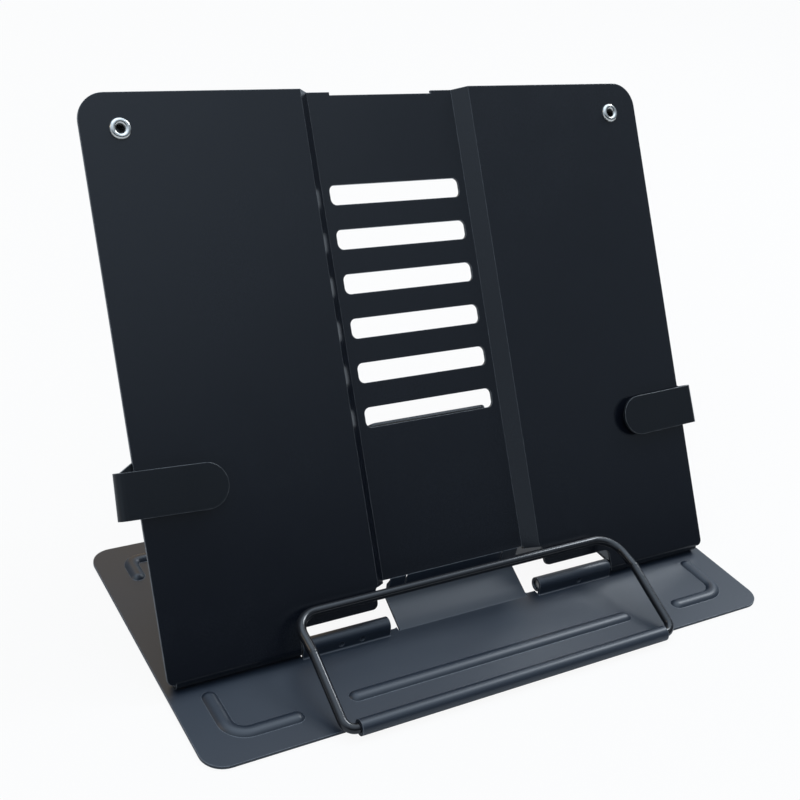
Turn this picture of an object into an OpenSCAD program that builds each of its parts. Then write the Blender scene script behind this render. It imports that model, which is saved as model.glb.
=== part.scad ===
// Folding sheet-steel book stand: a base with a wire page bail, a slotted back plate
// that folds down onto it, a strut that props the plate, and two swinging page arms.
// Units are millimetres. The origin is on the desk at the middle of the base's front
// edge. X runs along the width, Y towards the rear and Z up.

/* [Sheet and pins] */
// Thickness of the steel sheet of every pressed part
sheet = 0.9; // [0.7:0.1:1.1]
// Diameter of the two pins of the back plate's hinge
hinge_pin_d = 3; // [2.5:0.1:3.4]
// Diameter of the pin of the strut's hinge
strut_pin_d = 2; // [1.6:0.1:2.4]
// Diameter of the bail's wire
wire_d = 3; // [2.6:0.1:3.2]
// Running clearance round a pin or wire, on the radius
pin_play = 0.05; // [0.04:0.01:0.1]
// Room between pieces that move past each other
move_gap = 0.3; // [0.2:0.05:0.5]

/* [Base] */
// Width of the base
base_w = 205; // [196:1:230]
// Base in front of the hinge axis
base_front = 34.5; // [32:0.5:44]
// Base behind the hinge axis
base_rear = 72.3; // [71:0.1:76]
// Corner radius of the base
base_corner = 7; // [3:0.5:12]
// Length of each rolled hinge knuckle of the base
base_knuckle_l = 30.3; // [20:0.1:34]
// Distance of those knuckles from the centre line
base_knuckle_x = 29; // [28.8:0.1:31]
// Depth of the window behind each knuckle
window_depth = 20; // [12:0.5:28]
// How far each window runs past the outer end of its knuckle
window_side_gap = 6; // [0.8:0.1:10]
// Distance of the single stake mark from the middle of the right knuckle
stake_x = 1.5; // [-4:0.5:4]
// Distance between the two stake marks of the left knuckle
stake_pitch = 7.3; // [5:0.1:14]
// How far the hem's axis lies ahead of the base's front edge
hem_reach = 2; // [1:0.1:3]

/* [Tongue] */
// Half width of the raised tongue behind the crease
tongue_half = 24.7; // [20:0.1:25.5]
// Slope of the tongue
tongue_slope = 27.5; // [20:0.5:29]
// Crease of the tongue ahead of the hinge axis
crease_y = 1.5; // [1:0.1:2.5]
// Rise of the step at the tongue's end
tongue_step = 4.9; // [3:0.1:5]
// Half of the distance between the two slits in the step
slit_half = 18.6; // [12:0.1:21]
// Width of each slit
slit_w = 0.5; // [0.3:0.1:0.8]

/* [Ribs] */
// Width of the pressed ribs of the base
rib_w = 4.7; // [4:0.1:6]
// Height of the ribs above the sheet
rib_h = 1.2; // [0.8:0.1:1.4]
// Distance of the front corner ribs from the base's front edge
front_rib_margin = 10; // [8:0.1:12]
// Distance of the rear corner ribs from the base's rear edge
rear_rib_margin = 8.6; // [8:0.1:12]
// Distance of the corner ribs from the base's side edges
rib_side_margin = 11.1; // [9.5:0.1:15]
// Distance of the straight front rib from the base's front edge
middle_rib_margin = 11.4; // [9:0.1:13]
// Half length of the straight front rib
middle_rib_half = 50.6; // [30:0.1:52]
// Length of a corner rib along the front or rear edge
corner_rib_run = 19.6; // [15:0.1:22]
// Length of a front corner rib along the side edge
front_rib_side = 17; // [12:0.5:18]
// Length of a rear corner rib along the side edge
rear_rib_side = 9.1; // [8:0.1:14]
// Turning radius of a front corner rib
front_rib_turn = 6; // [4:0.5:8]
// Turning radius of a rear corner rib
rear_rib_turn = 3.5; // [3:0.5:6]

/* [Back plate] */
// How far each side edge of the back plate lies inside the base's
plate_inset = 0.5; // [0:0.1:1.5]
// Height of the back plate from the hinge axis along the plate
plate_h = 169.5; // [165:0.5:185]
// Angle of the back plate above the desk at its steepest setting
plate_angle = 59.2; // [58:0.1:61]
// Radius of the plate's top corners
plate_corner = 8.4; // [4:0.2:12]
// Half width of the recessed channel at the front face
channel_half = 31.2; // [29.8:0.1:34]
// Half width of the channel's floor
floor_half = 27; // [26:0.1:27.6]
// Depth of the channel
channel_depth = 4.4; // [3.4:0.1:4.4]
// Distance of each rolled knuckle of the plate from the plate's side edge
plate_knuckle_inset = 2.5; // [2.3:0.1:8]
// How far the plate's corners beside the knuckles reach below the hinge axis
plate_foot_drop = 0.9; // [0:0.1:1]
// Height of the notch over each base knuckle
notch_h = 5.9; // [4.5:0.1:8]
// Height of the channel's lower edge above the hinge axis
channel_foot = 13.35; // [13.2:0.05:14]

/* [Slots] */
// Number of slots
slot_count = 6; // [4:1:6]
// Width of each slot
slot_w = 48.6; // [44:0.2:50]
// Height of each slot
slot_h = 6.4; // [5:0.1:7]
// Distance between neighbouring slots
slot_pitch = 14.3; // [13.6:0.1:15]
// Lower rim of the lowest slot above the hinge axis
slot_foot = 61.8; // [59:0.1:62.5]
// Corner radius of each slot
slot_corner = 2; // [0.8:0.1:2.2]

/* [Strut] */
// Width of the strut
strut_w = 46; // [40:0.5:47]
// Half length of the strut's own hinge knuckle
strut_knuckle_half = 16; // [10:0.5:17]
// Length of each base knuckle beside it
strut_lug_l = 8; // [5:0.5:10]
// How far the strut's tip shows above the lowest slot's rim
tip_rise = 0.4; // [0.1:0.1:2]

/* [Wire bail] */
// Half width of the bail between its wire centres
bail_half = 60.5; // [58:0.1:62.5]
// How far the bail and its hem lie to the left of the base's middle
bail_shift = 1.7; // [0:0.1:3]
// Straight wire that shows beyond each end of the hem
hem_end_gap = 0.5; // [0.4:0.1:3]
// Length of the bail's arms up to their bend
bail_arm = 25.3; // [22:0.1:26.2]
// Length of the arms above the bend
bail_head = 14.4; // [12:0.1:15]
// Slope of the arms at rest
bail_slope = 23.6; // [20:0.2:24]
// Angle by which the arms bend back
bail_bend = 12.4; // [8:0.2:15]
// Corner radius at the hem
bail_foot_r = 3.5; // [3:0.1:5.2]
// Corner radius at the top run
bail_top_r = 7.5; // [5:0.5:9]

/* [Page arms] */
// Distance of each rivet from the plate's side edge
rivet_side = 11.85; // [10:0.05:16]
// Distance of the rivets from the plate's top edge
rivet_top = 10.7; // [8:0.1:18]
// Outside diameter of a rivet's barrel
rivet_d = 4; // [3.6:0.1:4.4]
// Diameter of the hole that is left in a rivet's barrel
rivet_bore = 2.6; // [2:0.1:3]
// Diameter of a rivet's rolled collar
rivet_collar_d = 6.6; // [5.4:0.1:7.2]
// Thickness of a rivet's head behind the arm
rivet_head_t = 1; // [0.6:0.1:1.4]
// Width of a page arm behind the plate
arm_w = 13; // [10:0.5:15]
// Height of a page clip
clip_h = 13.6; // [11:0.1:15]
// Drop from the rivet to the middle of the left clip
left_clip_drop = 104.8; // [98:0.1:112]
// Drop from the rivet to the middle of the right clip
right_clip_drop = 108.4; // [98:0.1:112]
// Length of a clip from its bend to its tip
clip_l = 33; // [24:0.5:36]
// Room between the plate's front face and the clip
clip_gap = 2.2; // [1.2:0.1:3]
// How much an arm's foot widens upwards from the bend to the arm
foot_rise = 3; // [0.5:0.1:5]
// Outward swing of the left arm at rest
left_rest_swing = 2.5; // [0:0.1:3]
// Outward swing of the right arm at rest
right_rest_swing = 1.4; // [0:0.1:3]

/* [Hidden] */
$fn = 48;

// A cut goes this far past the faces it opens, and a seam overlaps by this much
past = 1;
seam = 0.01;
big = 400;

// Rolled knuckles of the plate's hinge and the height of its axis
knuckle_bore_r = hinge_pin_d / 2 + pin_play;
knuckle_r = knuckle_bore_r + sheet;
knuckle_lift = 0.2;
axis_z = sheet + knuckle_lift + knuckle_r;

// Size of the plate and its front and rear faces, measured from the hinge axis
plate_w = base_w - 2 * plate_inset;
plate_front = knuckle_r;
plate_rear = plate_front - sheet;
floor_front = plate_front - channel_depth;
floor_rear = floor_front - sheet;

// Ends of the knuckles along the hinge
base_knuckle_end = base_knuckle_x + base_knuckle_l;
knuckle_gap = 0.5;
plate_knuckle_x = base_knuckle_end + knuckle_gap;
plate_knuckle_end = plate_w / 2 - plate_knuckle_inset;
pin_inset = 0.6;

// Windows and the middle opening of the base
window_front = 0;
window_corner = 1.5;
opening_half = 30;
rear_strip = 12;

// Bend at the root of a base knuckle, and the stake marks that hold its pin
root_bend = 0.6;
stake_r = 1.1;
stake_depth = 0.5;
stake_z = 2.6;
base_knuckle_mid = base_knuckle_x + base_knuckle_l / 2;

// Narrow slits part the tongue's foot from the sheet beside it
tongue_slit = 0.4;

// The step at the tongue's end rises under the channel's lower edge, inside its sweep, and
// its thinned tip laps the edge in front, so that no light shows between them
foot_sweep = sqrt(pow(channel_foot, 2) + pow(floor_front, 2));
foot_edge = [channel_foot * cos(plate_angle) - floor_front * sin(plate_angle),
             channel_foot * sin(plate_angle) + floor_front * cos(plate_angle)];
step_y = 8.9;
step_foot_z = sheet + (step_y + crease_y) * tan(tongue_slope);
step_top_z = step_foot_z + tongue_step;
tongue_tip_lap = 0.1;
tongue_tip_gap = 1.3 * move_gap;
tongue_tip_t = 0.45;

// Front hem round the bail's wire
hem_bore_r = wire_d / 2 + pin_play;
hem_r = hem_bore_r + sheet;
hem_y = -base_front - hem_reach;
hem_z = hem_r;
hem_half = bail_half - bail_foot_r - hem_end_gap;

// The wire swells a little where each arm of the bail is bent
bend_swell = 0.05;
bend_half = 0.2;

// Hinge of the strut at the rear edge of the base
strut_bore_r = strut_pin_d / 2 + pin_play;
strut_knuckle_r = strut_bore_r + sheet;
strut_axis_y = base_rear - strut_knuckle_r;
strut_axis_z = strut_knuckle_r + move_gap;
lug_gap = 0.3;
lug_x = strut_knuckle_half + lug_gap;
lug_end = lug_x + strut_lug_l;
strut_notch_room = 0.4;
strut_neck = strut_knuckle_r + 2.5;

// The strut's tip rests behind the lowest slot: its front corner in plate directions
tip_gap = move_gap + 0.05;
tip_u = slot_foot + tip_rise;
tip_w = floor_rear - tip_gap;
tip_y = tip_u * cos(plate_angle) - tip_w * sin(plate_angle);
tip_z = axis_z + tip_u * sin(plate_angle) + tip_w * cos(plate_angle);
tip_reach = norm([strut_axis_y - tip_y, tip_z - strut_axis_z]);
strut_l = sqrt(pow(tip_reach, 2) - pow(strut_knuckle_r, 2));
strut_angle = atan2(tip_z - strut_axis_z, strut_axis_y - tip_y) + atan2(strut_knuckle_r, strut_l);
strut_tip_corner = 3;

// Page arms lie behind the plate, in plate directions
arm_front = plate_rear - move_gap;
arm_rear = arm_front - sheet;
clip_rear = plate_front + clip_gap;
clip_bend_r = (clip_rear - arm_front) / 2;
clip_bend_w = (clip_rear + arm_front) / 2;
clip_bend_x = plate_w / 2 + move_gap - sqrt(pow(clip_bend_r, 2) - pow(clip_bend_w - plate_rear, 2));
arm_hole_play = 0.07;
rivet_hole_play = 0.05;
rivet_head_gap = 0.1;
rivet_x = plate_w / 2 - rivet_side;
rivet_u = plate_h - rivet_top;

// Bends of the back plate between its panels and the channel
wall_turn = atan2(channel_depth, channel_half - floor_half);
wall_shift = sheet * tan(wall_turn / 2);

steel = "#2b2e33";
dark_steel = "#1c1e22";
nickel = "#c9c7c0";

// A rectangle with rounded corners, from one corner to the opposite one
module rounded_rect(low, high, r) {
    translate([low[0] + r, low[1]]) square([high[0] - low[0] - 2 * r, high[1] - low[1]]);
    translate([low[0], low[1] + r]) square([high[0] - low[0], high[1] - low[1] - 2 * r]);
    for (x = [low[0] + r, high[0] - r])
        for (y = [low[1] + r, high[1] - r])
            translate([x, y]) circle(r);
}

// A profile drawn in Y and Z, extruded along X between two places
module along_x(from, to) {
    translate([from, 0, 0])
        rotate([90, 0, 90])
            linear_extrude(to - from) children();
}

// A rod along X
module rod_x(from, to, r) {
    translate([from, 0, 0]) rotate([0, 90, 0]) cylinder(r = r, h = to - from);
}

// Both sides of something that is drawn on the right
module both_sides() {
    children();
    mirror([1, 0, 0]) children();
}

// The base and the hinges are drawn with Y from the plate's hinge axis
module from_hinge() {
    translate([0, base_front, 0]) children();
}

// Puts something drawn in plate directions (X, up the plate, out of its front) in its place
module on_plate() {
    from_hinge() translate([0, 0, axis_z]) rotate([plate_angle, 0, 0]) children();
}

// Puts something drawn flat, hinge at the origin, in the strut's place
module on_strut() {
    from_hinge() translate([0, strut_axis_y, strut_axis_z]) rotate([180 - strut_angle, 0, 0]) children();
}

// Outline of the base sheet with the room it leaves for hinges and tongue
module base_outline() {
    difference() {
        rounded_rect([-base_w / 2, -base_front], [base_w / 2, base_rear], base_corner);
        window_end = base_knuckle_end + window_side_gap;
        both_sides_2d() {
            rounded_rect([tongue_half, window_front], [window_end, window_depth], window_corner);
            translate([base_knuckle_x, -knuckle_bore_r])
                square([base_knuckle_l, knuckle_bore_r + window_corner + past]);
        }
        translate([-tongue_half - tongue_slit, -crease_y])
            square([2 * (tongue_half + tongue_slit), window_depth + crease_y]);
        rounded_rect([-opening_half, window_depth - 2 * window_corner - past],
                     [opening_half, base_rear - rear_strip], window_corner);
        translate([-lug_end - lug_gap, strut_axis_y - strut_knuckle_r - strut_notch_room])
            square([2 * (lug_end + lug_gap), big]);
    }
}

module both_sides_2d() {
    children();
    mirror([1, 0]) children();
}

// The tongue rises from the crease, steps up and ends in a thinned tip
module tongue_profile() {
    forward = [-sin(plate_angle), cos(plate_angle)];
    up = [cos(plate_angle), sin(plate_angle)];
    axis = [0, axis_z];
    tip_rear = axis + foot_edge + tongue_tip_gap * forward + tongue_tip_lap * up;
    tip_under = axis + foot_edge * (1 - tongue_tip_gap / foot_sweep);
    under = sheet / cos(tongue_slope);
    polygon([
        [-crease_y - sheet, 0],
        [-crease_y - sheet, sheet],
        [-crease_y, sheet],
        [step_y, step_foot_z],
        tip_rear + tongue_tip_t * forward,
        tip_rear,
        tip_under,
        [step_y + sheet, step_top_z],
        [step_y + sheet, step_foot_z + sheet * tan(tongue_slope) - under],
        [-crease_y + sheet * tan(tongue_slope / 2), 0]
    ]);
}

module tongue() {
    difference() {
        along_x(-tongue_half, tongue_half) tongue_profile();
        both_sides()
            translate([slit_half - slit_w / 2, 0, step_foot_z + past])
                cube([slit_w, big, big]);
    }
}

// Rolled knuckle of the plate's hinge, on the base: the sheet bends up in front of the
// pin, rolls over it and comes down behind
module base_knuckle_profile() {
    translate([0, axis_z]) circle(knuckle_r);
    translate([-knuckle_r, 0]) square([sheet, axis_z]);
    difference() {
        translate([-knuckle_r - root_bend, 0]) square([root_bend + sheet, sheet + root_bend]);
        translate([-knuckle_r - root_bend, sheet + root_bend]) circle(root_bend);
    }
}

module base_knuckle(marks) {
    difference() {
        along_x(base_knuckle_x, base_knuckle_end) base_knuckle_profile();
        translate([0, 0, axis_z]) rod_x(base_knuckle_x - past, base_knuckle_end + past, knuckle_bore_r);
        for (mark = marks)
            translate([base_knuckle_mid + mark, -knuckle_r - stake_r + stake_depth, stake_z]) sphere(stake_r);
    }
}

// Rolled lugs for the strut's hinge at the rear edge
module strut_lug() {
    difference() {
        union() {
            translate([0, strut_axis_y, strut_axis_z]) rod_x(lug_x, lug_end, strut_knuckle_r);
            translate([lug_x, strut_axis_y - strut_knuckle_r - strut_notch_room - seam, 0])
                cube([strut_lug_l, strut_knuckle_r + strut_notch_room + seam, sheet]);
        }
        translate([0, strut_axis_y, strut_axis_z]) rod_x(lug_x - past, lug_end + past, strut_bore_r);
    }
}

// Front hem: the sheet runs forward and rolls up round the bail's wire
module front_hem() {
    difference() {
        union() {
            translate([-bail_shift, hem_y, hem_z]) rod_x(-hem_half, hem_half, hem_r);
            translate([-hem_half - bail_shift, hem_y, 0])
                cube([2 * hem_half, hem_reach + seam + past, sheet]);
        }
        translate([-bail_shift, hem_y, hem_z]) rod_x(-hem_half - past, hem_half + past, hem_bore_r);
    }
}

// Cross-section of a pressed rib: an arc whose top stands rib_h over the sheet
rib_arc_r = (pow(rib_w / 2, 2) + pow(rib_h, 2)) / (2 * rib_h);
rib_arc_z = sheet + rib_h - rib_arc_r;
middle_rib_shift = 1.2;

module rib_run(from, to, r) {
    along = to - from;
    translate([from[0], from[1], rib_arc_z])
        rotate([0, 90, atan2(along[1], along[0])]) cylinder(r = r, h = norm(along));
    for (end = [from, to])
        translate([end[0], end[1], rib_arc_z]) sphere(r);
}

// Corner rib drawn on the right: along the edge, round the corner and along the side
module corner_rib(y, side, turn, r) {
    x = base_w / 2 - rib_side_margin;
    toward = sign(side);
    rib_run([x - corner_rib_run, y], [x - turn, y], r);
    rib_run([x, y + toward * turn], [x, y + side], r);
    translate([x - turn, y + toward * turn, rib_arc_z])
        rotate([0, 0, toward > 0 ? -90 : 0])
            rotate_extrude(angle = 90) translate([turn, 0]) circle(r);
}

module ribs(r) {
    middle_y = -base_front + middle_rib_margin;
    rib_run([-middle_rib_half - middle_rib_shift, middle_y], [middle_rib_half - middle_rib_shift, middle_y], r);
    both_sides() {
        corner_rib(-base_front + front_rib_margin, front_rib_side, front_rib_turn, r);
        corner_rib(base_rear - rear_rib_margin, -rear_rib_side, rear_rib_turn, r);
    }
}

module base_plate() {
    color(steel)
        from_hinge() {
            difference() {
                union() {
                    linear_extrude(sheet) base_outline();
                    intersection() {
                        ribs(rib_arc_r);
                        translate([-big / 2, -big / 2, sheet / 2]) cube([big, big, big]);
                    }
                }
                ribs(rib_arc_r - sheet);
            }
            tongue();
            base_knuckle([stake_x]);
            mirror([1, 0, 0]) base_knuckle([stake_pitch / 2 - stake_x, -stake_pitch / 2 - stake_x]);
            both_sides() strut_lug();
            front_hem();
        }
}

// Front face of the bent sheet from the middle to the right edge, and the rear face back
module plate_section() {
    half = plate_w / 2;
    right_front = [[floor_half, floor_front], [channel_half, plate_front], [half, plate_front]];
    right_rear = [[half, plate_rear], [channel_half + wall_shift, plate_rear],
                  [floor_half + wall_shift, floor_rear]];
    left_front = [[-half, plate_front], [-channel_half, plate_front], [-floor_half, floor_front]];
    left_rear = [[-floor_half - wall_shift, floor_rear], [-channel_half - wall_shift, plate_rear],
                 [-half, plate_rear]];
    polygon(concat(left_front, right_front, right_rear, left_rear));
}

// Outline of the back plate, seen square on, without its slots
tab_corner = 2;
foot_corner = 2;
tab_x = base_knuckle_x + 3.3;
tab_shoulder = 0.8;
shoulder_corner = 1;
top_relief = 1;
top_relief_half = 19;

module plate_outline() {
    half = plate_w / 2;
    difference() {
        union() {
            rounded_rect([-half, 0], [half, plate_h], plate_corner);
            both_sides_2d() {
                square([plate_knuckle_end, plate_corner]);
                rounded_rect([half - 3 * foot_corner, -plate_foot_drop], [half, plate_h / 2], foot_corner);
            }
        }
        both_sides_2d() {
            translate([plate_knuckle_x, -past]) square([plate_knuckle_end - plate_knuckle_x, past]);
            rounded_rect([tab_x - tab_corner - past, -big / 8],
                         [plate_knuckle_x, notch_h], tab_corner);
            outer_corner(tab_x, notch_h, tab_corner);
            rounded_rect([floor_half + wall_shift - past, -big / 8],
                         [tab_x, channel_foot - tab_shoulder], shoulder_corner);
        }
        translate([-floor_half - wall_shift, -big / 8])
            square([2 * (floor_half + wall_shift), big / 8 + channel_foot]);
        translate([-top_relief_half, plate_h - top_relief])
            square([2 * top_relief_half, big]);
    }
}

// What a rounded corner leaves out, for a corner whose sheet lies to the right and above
module outer_corner(x, y, r) {
    difference() {
        translate([x - seam, y - seam]) square(r + seam);
        translate([x + r, y + r]) circle(r);
    }
}

module slots() {
    for (i = [0 : slot_count - 1]) {
        low = slot_foot + i * slot_pitch;
        rounded_rect([-slot_w / 2, low], [slot_w / 2, low + slot_h], slot_corner);
    }
}

module back_plate() {
    color(steel)
        on_plate() {
            intersection() {
                translate([0, plate_h + past, 0])
                    rotate([90, 0, 0]) linear_extrude(plate_h + 2 * past) plate_section();
                translate([0, 0, -big / 4]) linear_extrude(big / 2)
                    difference() {
                        plate_outline();
                        slots();
                        both_sides_2d()
                            translate([rivet_x, rivet_u]) circle(rivet_d / 2 + rivet_hole_play);
                    }
            }
            both_sides()
                difference() {
                    rod_x(plate_knuckle_x, plate_knuckle_end, knuckle_r);
                    rod_x(plate_knuckle_x - past, plate_knuckle_end + past, knuckle_bore_r);
                }
        }
}

module support_strut() {
    color(dark_steel)
        on_strut() {
            difference() {
                rod_x(-strut_knuckle_half, strut_knuckle_half, strut_knuckle_r);
                rod_x(-strut_knuckle_half - past, strut_knuckle_half + past, strut_bore_r);
            }
            translate([0, 0, strut_bore_r])
                linear_extrude(sheet) {
                    translate([-strut_knuckle_half, 0])
                        square([2 * strut_knuckle_half, strut_neck + past]);
                    rounded_rect([-strut_w / 2, strut_neck], [strut_w / 2, strut_l], strut_tip_corner);
                }
        }
}

// One arm of the bail, drawn flat with the bottom run on the X axis: the corner out
// of the hem, the arm, its pressed bend and the corner into the top run
module bail_side() {
    r = wire_d / 2;
    translate([bail_half - bail_foot_r, bail_foot_r, 0])
        rotate([0, 0, -90]) rotate_extrude(angle = 90) translate([bail_foot_r, 0]) circle(r);
    translate([bail_half, bail_foot_r, 0])
        rotate([-90, 0, 0]) cylinder(r = r, h = bail_arm - bend_half - bail_foot_r);
    translate([bail_half, bail_arm, 0]) sphere(r + bend_swell);
    bail_head_place() {
        translate([bail_half, bend_half, 0])
            rotate([-90, 0, 0]) cylinder(r = r, h = bail_head - bail_top_r - bend_half);
        translate([bail_half - bail_top_r, bail_head - bail_top_r, 0])
            rotate_extrude(angle = 90) translate([bail_top_r, 0]) circle(r);
    }
}

// The part of the bail above the bend leans back from the arms
module bail_head_place() {
    translate([0, bail_arm, 0]) rotate([-bail_bend, 0, 0]) children();
}

module wire_bail() {
    foot_end = bail_half - bail_foot_r;
    top_end = bail_half - bail_top_r;
    color(dark_steel)
        from_hinge() translate([-bail_shift, hem_y, hem_z]) rotate([bail_slope, 0, 0]) {
            rod_x(-foot_end, foot_end, wire_d / 2);
            both_sides() bail_side();
            bail_head_place() translate([0, bail_head, 0]) rod_x(-top_end, top_end, wire_d / 2);
        }
}

// One pin runs through a base knuckle and the plate knuckle beside it
module hinge_pin() {
    color(nickel)
        from_hinge() translate([0, 0, axis_z])
            rod_x(base_knuckle_x + pin_inset, plate_knuckle_end - pin_inset, hinge_pin_d / 2);
}

module right_hinge_pin() { hinge_pin(); }

module left_hinge_pin() { mirror([1, 0, 0]) hinge_pin(); }

module strut_hinge_pin() {
    color(nickel)
        from_hinge() translate([0, strut_axis_y, strut_axis_z])
            rod_x(-lug_end + pin_inset / 2, lug_end - pin_inset / 2, strut_pin_d / 2);
}

// A page arm on the right, its rivet at the origin: a strip down the plate's back,
// a foot that reaches past the edge, a bend and the clip over the page
module page_arm(drop) {
    bend_x = clip_bend_x - rivet_x;
    half = arm_w / 2;
    low = -drop - clip_h / 2;
    high = low + clip_h;
    translate([0, 0, arm_rear])
        linear_extrude(sheet)
            difference() {
                union() {
                    circle(half);
                    translate([-half, low + half]) square([arm_w, drop + clip_h / 2 - half]);
                    rounded_rect([-half, low], [half, high], half / 2);
                    polygon([[0, low], [bend_x + seam, low], [bend_x + seam, high],
                             [half, high + foot_rise], [0, high + foot_rise]]);
                }
                circle(rivet_d / 2 + arm_hole_play);
            }
    translate([bend_x, high, clip_bend_w])
        rotate([90, 0, 0])
            difference() {
                cylinder(r = clip_bend_r + sheet, h = clip_h);
                translate([0, 0, -past]) cylinder(r = clip_bend_r, h = clip_h + 2 * past);
                translate([-big, -big / 2, -past]) cube([big, big, clip_h + 2 * past]);
            }
    translate([0, 0, clip_rear])
        linear_extrude(sheet) {
            tip = bend_x + clip_bend_r + sheet - clip_l;
            translate([tip + clip_h / 2, low]) square([bend_x + seam - tip - clip_h / 2, clip_h]);
            translate([tip + clip_h / 2, low + clip_h / 2]) circle(clip_h / 2);
        }
}

module right_page_arm() {
    color(dark_steel)
        on_plate()
            translate([rivet_x, rivet_u, 0])
                rotate([0, 0, right_rest_swing]) page_arm(right_clip_drop);
}

module left_page_arm() {
    color(dark_steel)
        on_plate()
            mirror([1, 0, 0])
                translate([rivet_x, rivet_u, 0])
                    rotate([0, 0, left_rest_swing]) page_arm(left_clip_drop);
}

// Semi-tubular rivet on the right: a rolled collar on the plate's front, a drilled
// barrel and a flat head behind the arm
module rivet() {
    head_top = arm_rear - rivet_head_gap;
    head = head_top - rivet_head_t;
    barrel_r = rivet_d / 2;
    bore_r = rivet_bore / 2;
    roll_r = (rivet_collar_d / 2 - bore_r) / 2;
    head_r = rivet_collar_d / 2;
    edge = rivet_head_t / 4;
    color(nickel)
        on_plate()
            translate([rivet_x, rivet_u, 0])
                rotate_extrude() {
                    polygon([
                        [0, head], [head_r - edge, head], [head_r, head + edge],
                        [head_r, head_top - edge], [head_r - edge, head_top],
                        [barrel_r, head_top], [barrel_r, plate_front + seam],
                        [bore_r, plate_front + seam], [bore_r, head_top], [0, head_top]
                    ]);
                    intersection() {
                        translate([bore_r + roll_r, plate_front]) circle(roll_r);
                        translate([bore_r, plate_front]) square(2 * roll_r);
                    }
                }
}

module right_rivet() { rivet(); }

module left_rivet() { mirror([1, 0, 0]) rivet(); }

base_plate();
back_plate();
support_strut();
wire_bail();
left_hinge_pin();
right_hinge_pin();
strut_hinge_pin();
left_page_arm();
right_page_arm();
left_rivet();
right_rivet();
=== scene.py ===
import math

import bmesh
import bpy
from mathutils import Matrix, Vector


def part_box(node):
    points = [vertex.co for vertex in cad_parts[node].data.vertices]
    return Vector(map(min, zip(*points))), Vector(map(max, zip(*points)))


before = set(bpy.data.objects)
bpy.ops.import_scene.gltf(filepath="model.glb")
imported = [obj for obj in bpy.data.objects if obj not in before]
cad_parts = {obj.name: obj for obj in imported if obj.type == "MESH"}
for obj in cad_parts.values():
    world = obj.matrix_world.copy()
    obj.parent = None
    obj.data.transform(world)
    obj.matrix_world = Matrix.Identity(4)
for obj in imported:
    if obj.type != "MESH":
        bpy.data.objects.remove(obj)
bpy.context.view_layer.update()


# The view. The camera of the photograph, found from the straight edges of the base and the
# plate: it looks down at the stand from its front left, with the horizon a little tilted.
# Its place is in millimetres from the middle of the base's front edge.
MM = 0.001
VIEW_FROM = Vector((-198.77, -217.42, 238.80)) * MM
VIEW_YAW = math.radians(33.046)
VIEW_PITCH = math.radians(27.185)
VIEW_ROLL = math.radians(7.279)
LENS_PIXELS = 1199.35
PICTURE_PIXELS = 800
NEAREST_SEEN = 10 * MM


def place_camera():
    ahead = Vector((math.sin(VIEW_YAW) * math.cos(VIEW_PITCH),
                    math.cos(VIEW_YAW) * math.cos(VIEW_PITCH),
                    -math.sin(VIEW_PITCH)))
    level = Vector((math.cos(VIEW_YAW), -math.sin(VIEW_YAW), 0))
    upright = level.cross(ahead)
    right = math.cos(VIEW_ROLL) * level + math.sin(VIEW_ROLL) * upright
    up = math.cos(VIEW_ROLL) * upright - math.sin(VIEW_ROLL) * level
    lens = bpy.data.cameras.new("view")
    lens.sensor_fit = "HORIZONTAL"
    lens.lens = lens.sensor_width * LENS_PIXELS / PICTURE_PIXELS
    lens.clip_start = NEAREST_SEEN
    camera = bpy.data.objects.new("view", lens)
    turn = Matrix((right, up, -ahead)).transposed().to_4x4()
    camera.matrix_world = Matrix.Translation(VIEW_FROM) @ turn
    bpy.context.scene.collection.objects.link(camera)
    bpy.context.scene.camera = camera


place_camera()


# Base plate. One blank of 0.9 mm cold-rolled steel, pierced, embossed and rolled up in a
# press, then powder coated in the same satin black as the back plate; its colour here is
# painted a lighter blue-grey, a painted sheen for the light its flat top catches from above.
# Its front edge is rolled into a tube that holds the bail, and two tabs are rolled up into the
# hinge knuckles.
class Value:
    """A socket that can be added, subtracted and multiplied like a number."""

    def __init__(self, shade, socket):
        self.shade = shade
        self.socket = socket

    def _math(self, operation, *values):
        settings = {"operation": operation}
        return self.shade.node("ShaderNodeMath", settings, dict(enumerate(values))).out(0)

    def __add__(self, other):
        return self._math("ADD", self, other)

    def __radd__(self, other):
        return self._math("ADD", other, self)

    def __sub__(self, other):
        return self._math("SUBTRACT", self, other)

    def __rsub__(self, other):
        return self._math("SUBTRACT", other, self)

    def __mul__(self, other):
        return self._math("MULTIPLY", self, other)

    def __rmul__(self, other):
        return self._math("MULTIPLY", other, self)

    def ramp(self, low, high):
        """0 at low, 1 at high, and straight in between."""
        ends = {"Value": self, "From Min": low, "From Max": high}
        return self.shade.node("ShaderNodeMapRange", {"clamp": True}, ends).out("Result")


class Node:
    """A node whose outputs are taken by name or number."""

    def __init__(self, shade, node):
        self.shade = shade
        self.node = node

    def out(self, name):
        return Value(self.shade, self.node.outputs[name])


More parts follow.
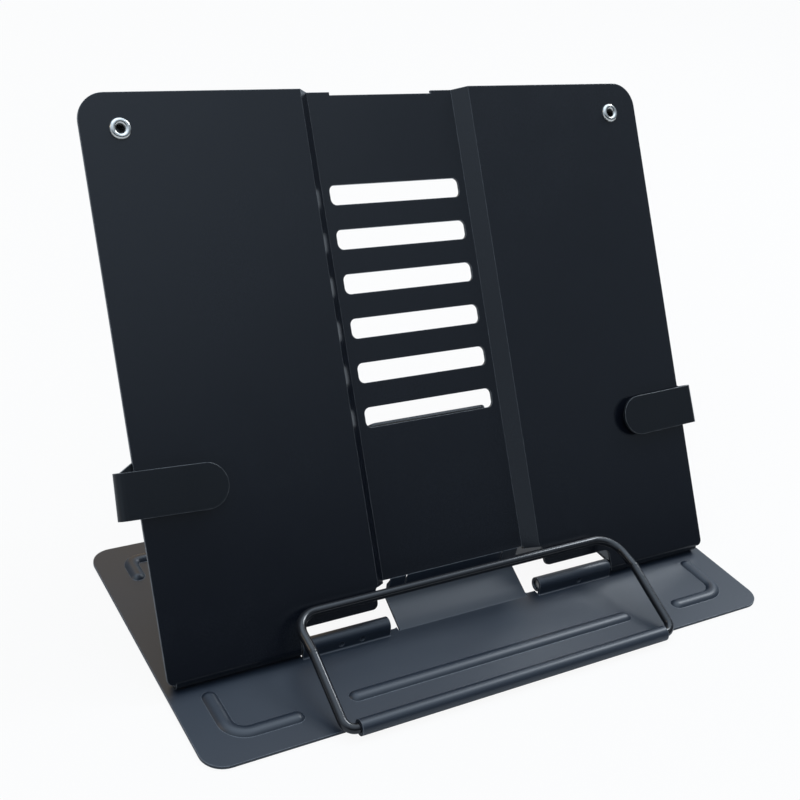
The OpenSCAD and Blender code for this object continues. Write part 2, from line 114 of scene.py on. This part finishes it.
class Shade:
    """The nodes of one material, or of the world."""

    def __init__(self, material):
        self.material = material
        self.material.use_nodes = True
        self.tree = self.material.node_tree
        self.shader = self.tree.nodes.get("Principled BSDF")

    def node(self, kind, settings=None, inputs=None):
        made = self.tree.nodes.new(kind)
        for name, value in (settings or {}).items():
            setattr(made, name, value)
        for name, value in (inputs or {}).items():
            self.feed(made.inputs[name], value)
        return Node(self, made)

    def feed(self, socket, value):
        if isinstance(value, Value):
            self.tree.links.new(value.socket, socket)
        else:
            socket.default_value = value

    def set(self, **values):
        """Feeds the sockets of the surface shader, with _ for each space in a name."""
        for name, value in values.items():
            self.feed(self.shader.inputs[name.replace("_", " ")], value)

    def place(self):
        """The point on the surface in millimetres, where it is at rest."""
        inputs = {"Vector": self.node("ShaderNodeTexCoord").out("Object"), "Scale": (1 / MM,) * 3}
        return self.node("ShaderNodeMapping", {}, inputs).out("Vector")

    def noise(self, place, size, detail=3.0, rough=0.5):
        """Soft noise from 0 to 1 with patches of a size in millimetres."""
        inputs = {"Vector": place, "Scale": 1 / size, "Detail": detail, "Roughness": rough}
        return self.node("ShaderNodeTexNoise", {}, inputs).out("Fac")

    def mix(self, amount, first, second):
        """A colour between two colours. The mix node's color sockets go by number."""
        made = self.node("ShaderNodeMix", {"data_type": "RGBA"})
        self.feed(made.node.inputs[0], amount)
        for index, color in ((6, first), (7, second)):
            self.feed(made.node.inputs[index], color if isinstance(color, Value) else (*color, 1))
        return made.out(2)

    def bump(self, height, depth, normal):
        """Relief where a height of 1 stands a depth in millimetres above a height of 0."""
        inputs = {"Height": height, "Distance": depth * MM, "Normal": normal}
        return self.node("ShaderNodeBump", {}, inputs).out("Normal")


EDGE_RADIUS = 0.32
EDGE_SAMPLES = 6
EDGE_TURN = (0.86, 0.99)


def rounded_edges(shade):
    """The surface's normal with its sheared edges rounded over a small radius."""
    inputs = {"Radius": EDGE_RADIUS * MM}
    return shade.node("ShaderNodeBevel", {"samples": EDGE_SAMPLES}, inputs).out("Normal")


def edge_mask(shade, rounded):
    """1 on the sheared edges, where the rounded normal has turned from the true one."""
    plain = shade.node("ShaderNodeNewGeometry").out("Normal")
    inputs = {0: rounded, 1: plain}
    together = shade.node("ShaderNodeVectorMath", {"operation": "DOT_PRODUCT"}, inputs).out("Value")
    return 1 - together.ramp(*EDGE_TURN)


PEEL_SIZE = 0.8
PEEL_DEPTH = 0.005
GRAIN_SIZE = 0.16
GRAIN_DEPTH = 0.003
GRAIN_SHEEN = 0.08
CLOUD_SIZE = 46.0
CLOUD_SHEEN = 0.14
CLOUD_TINT = 0.12
DUST_SIZE = 0.5
DUST_RANGE = (0.66, 0.8)
DUST_COVER = 0.35
DUST_PALER = 0.012
DUST_DULL = 0.1
RUB_SIZE = 3.0
RUB_RANGE = (0.38, 0.62)
# Edge colour: the thin, rubbed coat on sheared edges, plus a painted highlight for the light those
# edges catch.
WEAR_AND_HIGHLIGHT_LEAST = 0.5
WORN_AND_HIGHLIT_GAIN = 1.8
WORN_AND_HIGHLIT_PALER = 0.2


def powder_coat(name, color, rough, gloss):
    """Polyester powder melted into a satin skin: faint orange peel, a fine grain that holds
    a little dust, and a broad unevenness in how glossy it came out. The coat draws back from
    a sheared edge as it melts, so it is thinner and paler there, and rubbed by hands. The
    edges are painted far paler than that wear alone, a painted highlight for the light they catch."""
    shade = Shade(bpy.data.materials.new(name))
    place = shade.place()
    rounded = rounded_edges(shade)
    edge = edge_mask(shade, rounded)
    peel = shade.noise(place, PEEL_SIZE, detail=2.0)
    grain = shade.noise(place, GRAIN_SIZE, detail=2.0)
    cloud = shade.noise(place, CLOUD_SIZE, detail=3.0, rough=0.6)
    dust = shade.noise(place, DUST_SIZE, detail=4.0, rough=0.7).ramp(*DUST_RANGE)
    rub = shade.noise(place, RUB_SIZE, detail=4.0, rough=0.65).ramp(*RUB_RANGE)
    deep = tuple(c * (1 - CLOUD_TINT) for c in color)
    pale = tuple(c * (1 + CLOUD_TINT) for c in color)
    dusty = tuple(c + DUST_PALER for c in color)
    # Sheared edges go paler: partly wear of the thin coat, partly a painted highlight.
    worn_and_highlit = tuple(c * WORN_AND_HIGHLIT_GAIN + WORN_AND_HIGHLIT_PALER for c in color)
    face = shade.mix(dust * DUST_COVER, shade.mix(cloud, deep, pale), dusty)
    wear_and_highlight = edge * (WEAR_AND_HIGHLIGHT_LEAST + (1 - WEAR_AND_HIGHLIGHT_LEAST) * rub)
    sheen = (cloud - 0.5) * CLOUD_SHEEN + (grain - 0.5) * GRAIN_SHEEN + dust * DUST_DULL
    relief = peel * PEEL_DEPTH + grain * GRAIN_DEPTH
    shade.set(Base_Color=shade.mix(wear_and_highlight, face, worn_and_highlit),
              Roughness=rough + sheen,
              Specular_IOR_Level=gloss,
              Normal=shade.bump(relief, 1.0, rounded))
    return shade.material


def finish(node, material):
    """Gives a node of the frame its finish."""
    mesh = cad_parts[node].data
    mesh.materials.clear()
    mesh.materials.append(material)


# The base's colour is lighter and bluer than the plate's: painted sheen on one black paint lit from
# above.
BASE_LIT_COLOR = (0.011, 0.016, 0.025)
BASE_ROUGH = 0.4
BASE_GLOSS = 0.6
finish("base_plate", powder_coat("base_coat", BASE_LIT_COLOR, BASE_ROUGH, BASE_GLOSS))


# Back plate. A second blank of the same sheet, pierced with the six slots before its middle
# is drawn back into a channel, and rolled into a knuckle at each side of its foot. It has the
# same satin black coat as the base, but its colour is painted darker than the base's, a
# painted shade for the light that only grazes its leaning face.
# The plate's colour is darker than the base's: painted shade on the same black paint, grazed by the
# light.
PLATE_SHADED_COLOR = (0.003, 0.004, 0.007)
PLATE_ROUGH = 0.25
PLATE_GLOSS = 0.5
finish("back_plate", powder_coat("plate_coat", PLATE_SHADED_COLOR, PLATE_ROUGH, PLATE_GLOSS))


# Support strut. The prop behind the plate, a plain blank with a knuckle rolled at its foot
# and its tip left square to drop into a slot. It shares the plate's black coat, painted as dark
# as the plate's, so it carries the same painted shade.
finish("support_strut", powder_coat("strut_coat", PLATE_SHADED_COLOR, PLATE_ROUGH, PLATE_GLOSS))


# Page arms. Narrow strips that hang behind the plate from the rivets and are folded round
# its side edges, so that their rounded clips lie over the pages. They are punched, folded
# and coated black, a little duller than the plate.
ARM_COLOR = (0.005, 0.006, 0.008)
ARM_ROUGH = 0.3
ARM_GLOSS = 0.4
for side in ("left", "right"):
    finish(side + "_page_arm", powder_coat(side + "_arm_coat", ARM_COLOR, ARM_ROUGH, ARM_GLOSS))


# Wire bail. A length of 3 mm wire bent in one go on a former and dipped in black enamel, so
# it is glossier than the sheet. Its ends are sprung into the rolled front edge of the base.
WIRE_COLOR = (0.005, 0.005, 0.006)
WIRE_ROUGH = 0.16
ENAMEL_WAVE = 2.4
ENAMEL_WAVE_DEPTH = 0.008
ENAMEL_CLOUD = 20.0
ENAMEL_PALER = 1.5
ENAMEL_SHEEN = 0.1


def enamel(name, color, rough):
    """Dipped enamel: a slow waviness along the wire and nearly no grain."""
    shade = Shade(bpy.data.materials.new(name))
    place = shade.place()
    wave = shade.noise(place, ENAMEL_WAVE, detail=2.0)
    cloud = shade.noise(place, ENAMEL_CLOUD, detail=3.0)
    pale = tuple(c * ENAMEL_PALER for c in color)
    shade.set(Base_Color=shade.mix(cloud, color, pale),
              Roughness=rough + (cloud - 0.5) * ENAMEL_SHEEN,
              Normal=shade.bump(wave, ENAMEL_WAVE_DEPTH, rounded_edges(shade)))
    return shade.material


finish("wire_bail", enamel("wire_enamel", WIRE_COLOR, WIRE_ROUGH))


# Rivets and hinge pins. The rivets are semi-tubular, nickel plated, their collars rolled
# over by the setting tool, and the inside of each bore is painted dark and dull, not metal, as
# painted shade for the shadowed hollow. The pins are cut from drawn steel wire and pushed
# through the rolled knuckles.
NICKEL = (0.72, 0.7, 0.66)
NICKEL_ROUGH = 0.2
PIN_STEEL = (0.5, 0.49, 0.48)
PIN_ROUGH = 0.32
TARNISH_SIZE = 1.2
TARNISH_RANGE = (0.35, 0.75)
TARNISH_DARKER = 0.72
TARNISH_SHEEN = 0.2
SCUFF_SIZE = 0.25
SCUFF_DEPTH = 0.004
BORE_PAINTED_SHADE = (0.02, 0.018, 0.016)
BORE_RADIUS = 1.3
BORE_RIM = 0.25
PLATE_RISE = math.radians(59.2)


def inside_bore(shade, place, middle):
    """1 inside a bore that runs square to the back plate through a point in metres."""
    split = shade.node("ShaderNodeSeparateXYZ", {}, {"Vector": place})
    across = split.out("X") - middle.x / MM
    rise = (middle.y * math.cos(PLATE_RISE) + middle.z * math.sin(PLATE_RISE)) / MM
    along = split.out("Y") * math.cos(PLATE_RISE) + split.out("Z") * math.sin(PLATE_RISE) - rise
    wall = BORE_RADIUS ** 2
    rim = (BORE_RADIUS + BORE_RIM) ** 2
    return 1 - (across * across + along * along).ramp(wall, rim)


def plated(name, color, rough, bore=None):
    """Bright metal with a light tarnish, painted dark and dull inside its bore if it has one, as
    painted shade.
    """
    shade = Shade(bpy.data.materials.new(name))
    place = shade.place()
    tarnish = shade.noise(place, TARNISH_SIZE, detail=4.0, rough=0.6)
    scuff = shade.noise(place, SCUFF_SIZE, detail=3.0)
    dull = tuple(c * TARNISH_DARKER for c in color)
    face = shade.mix(tarnish.ramp(*TARNISH_RANGE), color, dull)
    metal = 1.0
    # Inside the bore: painted shade, a dark dull colour in place of the metal.
    if bore:
        inside = inside_bore(shade, place, bore)
        face = shade.mix(inside, face, BORE_PAINTED_SHADE)
        metal = 1 - inside
    shade.set(Base_Color=face,
              Metallic=metal,
              Roughness=rough + (tarnish - 0.5) * TARNISH_SHEEN,
              Normal=shade.bump(scuff, SCUFF_DEPTH, rounded_edges(shade)))
    return shade.material


for side in ("left", "right"):
    low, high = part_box(side + "_rivet")
    finish(side + "_rivet", plated(side + "_rivet_nickel", NICKEL, NICKEL_ROUGH, (low + high) / 2))
    finish(side + "_hinge_pin", plated(side + "_pin_steel", PIN_STEEL, PIN_ROUGH))
finish("strut_hinge_pin", plated("strut_pin_steel", PIN_STEEL, PIN_ROUGH))


# The desk. A pale matt board that the stand rests on, much larger than the picture. The
# camera sees it nearly white, and it keeps the stand's faint shadow.
DESK_HALF = 6.0
DESK_DROP = 0.2 * MM
DESK_GREY = (0.55, 0.55, 0.55, 1)
DESK_ROUGH = 0.7
DESK_WHITE = 0.92
MIRRORED_WHITE = 0.1


def desk():
    form = bmesh.new()
    bmesh.ops.create_grid(form, x_segments=1, y_segments=1, size=DESK_HALF)
    bmesh.ops.translate(form, vec=(0, 0, -DESK_DROP), verts=form.verts)
    mesh = bpy.data.meshes.new("floor")
    form.to_mesh(mesh)
    form.free()
    piece = bpy.data.objects.new("floor", mesh)
    bpy.context.scene.collection.objects.link(piece)
    shade = Shade(bpy.data.materials.new("floor"))
    shade.set(Base_Color=DESK_GREY, Roughness=DESK_ROUGH)
    matt = Value(shade, shade.shader.outputs["BSDF"])
    glow = {"Color": (1, 1, 1, 1), "Strength": 1.0}
    white = shade.node("ShaderNodeEmission", {}, glow).out("Emission")
    path = shade.node("ShaderNodeLightPath")
    mirrored = path.out("Is Glossy Ray") * MIRRORED_WHITE
    seen = path.out("Is Camera Ray") + path.out("Is Transmission Ray") + mirrored
    mixed = shade.node("ShaderNodeMixShader", {}, {0: seen * DESK_WHITE, 1: matt, 2: white})
    shade.feed(shade.tree.nodes["Material Output"].inputs["Surface"], mixed.out("Shader"))
    mesh.materials.append(shade.material)


desk()


# The studio. One large cool lamp at the right, a little behind the stand, and a weak warm
# one low at its rear left. The room round them is open and pale behind, dark low in front,
# and bright overhead, and the camera sees it as plain white.
LAMP_AIM = Vector((0, 0.04, 0.05))


def lamp(name, azimuth, height, away, size, power, color):
    """A square soft lamp aimed at the stand. Azimuth 0 is the front and 90 the right."""
    turn = math.radians(azimuth)
    rise = math.radians(height)
    level = math.cos(rise)
    toward = Vector((math.sin(turn) * level, -math.cos(turn) * level, math.sin(rise)))
    light = bpy.data.lights.new(name, "AREA")
    light.energy = power
    light.size = size
    light.color = color
    piece = bpy.data.objects.new(name, light)
    piece.location = LAMP_AIM + toward * away
    piece.rotation_euler = (-toward).to_track_quat("-Z", "Y").to_euler()
    bpy.context.scene.collection.objects.link(piece)


lamp("key", azimuth=102, height=45, away=1.3, size=0.35, power=6.5, color=(0.88, 0.94, 1.0))
lamp("window", azimuth=245, height=25, away=1.2, size=0.4, power=1.2, color=(1.0, 0.8, 0.55))


# The room. Each light band comes in between two values of one part of the direction that
# is looked in: across to the right, back to the rear, and up.
ROOM_COLOR = (0.7, 0.84, 1.0)
WARM_COLOR = (1.0, 0.7, 0.34)
WHITE = (1, 1, 1)
REAR = (-0.2, 0.4)
RIGHT = (0.35, 0.6)
LEFT = (0.45, 0.8)
REAR_LEFT = (-0.3, 0.1)
SKY_RISE = (0.33, 0.62)
SIDE_RISE = (0.22, 0.3)
CEILING_RISE = (0.7, 1.0)
REAR_TOP_RISE = (0.65, 0.9)
WARM_END = (0.68, 0.82)
SKY_LEVEL = 0.8
SIDE_LEVEL = 0.38
LEFT_LEVEL = 0.6
CEILING_LEVEL = 1.5
REAR_LEVEL = 0.8
REAR_LEFT_LOSS = 0.6
REAR_TOP_LEVEL = 2.1


def room():
    shade = Shade(bpy.data.worlds.new("surround"))
    toward = shade.node("ShaderNodeTexCoord").out("Generated")
    split = shade.node("ShaderNodeSeparateXYZ", {}, {"Vector": toward})
    across = split.out("X")
    height = split.out("Z")
    rear = split.out("Y").ramp(*REAR)
    right = across.ramp(*RIGHT)
    rear_left = 1 - across.ramp(*REAR_LEFT)
    sky = height.ramp(*SKY_RISE) * (1 - right) * SKY_LEVEL
    side = height.ramp(*SIDE_RISE) * right * SIDE_LEVEL
    left = (0 - across).ramp(*LEFT) * LEFT_LEVEL
    front_level = sky + side + left + height.ramp(*CEILING_RISE) * CEILING_LEVEL
    top = height.ramp(*REAR_TOP_RISE) * REAR_TOP_LEVEL
    rear_level = (1 - REAR_LEFT_LOSS * rear_left) * REAR_LEVEL + top
    level = front_level * (1 - rear) + rear * rear_level
    warm = rear * (1 - right) * (1 - rear_left) * (1 - height.ramp(*WARM_END))
    path = shade.node("ShaderNodeLightPath")
    seen = path.out("Is Camera Ray") + path.out("Is Transmission Ray")
    color = shade.mix(seen, shade.mix(warm, ROOM_COLOR, WARM_COLOR), WHITE)
    background = shade.tree.nodes["Background"]
    shade.feed(background.inputs["Color"], color)
    shade.feed(background.inputs["Strength"], seen + (1 - seen) * level)
    bpy.context.scene.world = shade.material


room()
bpy.context.scene.view_settings.view_transform = "Standard"
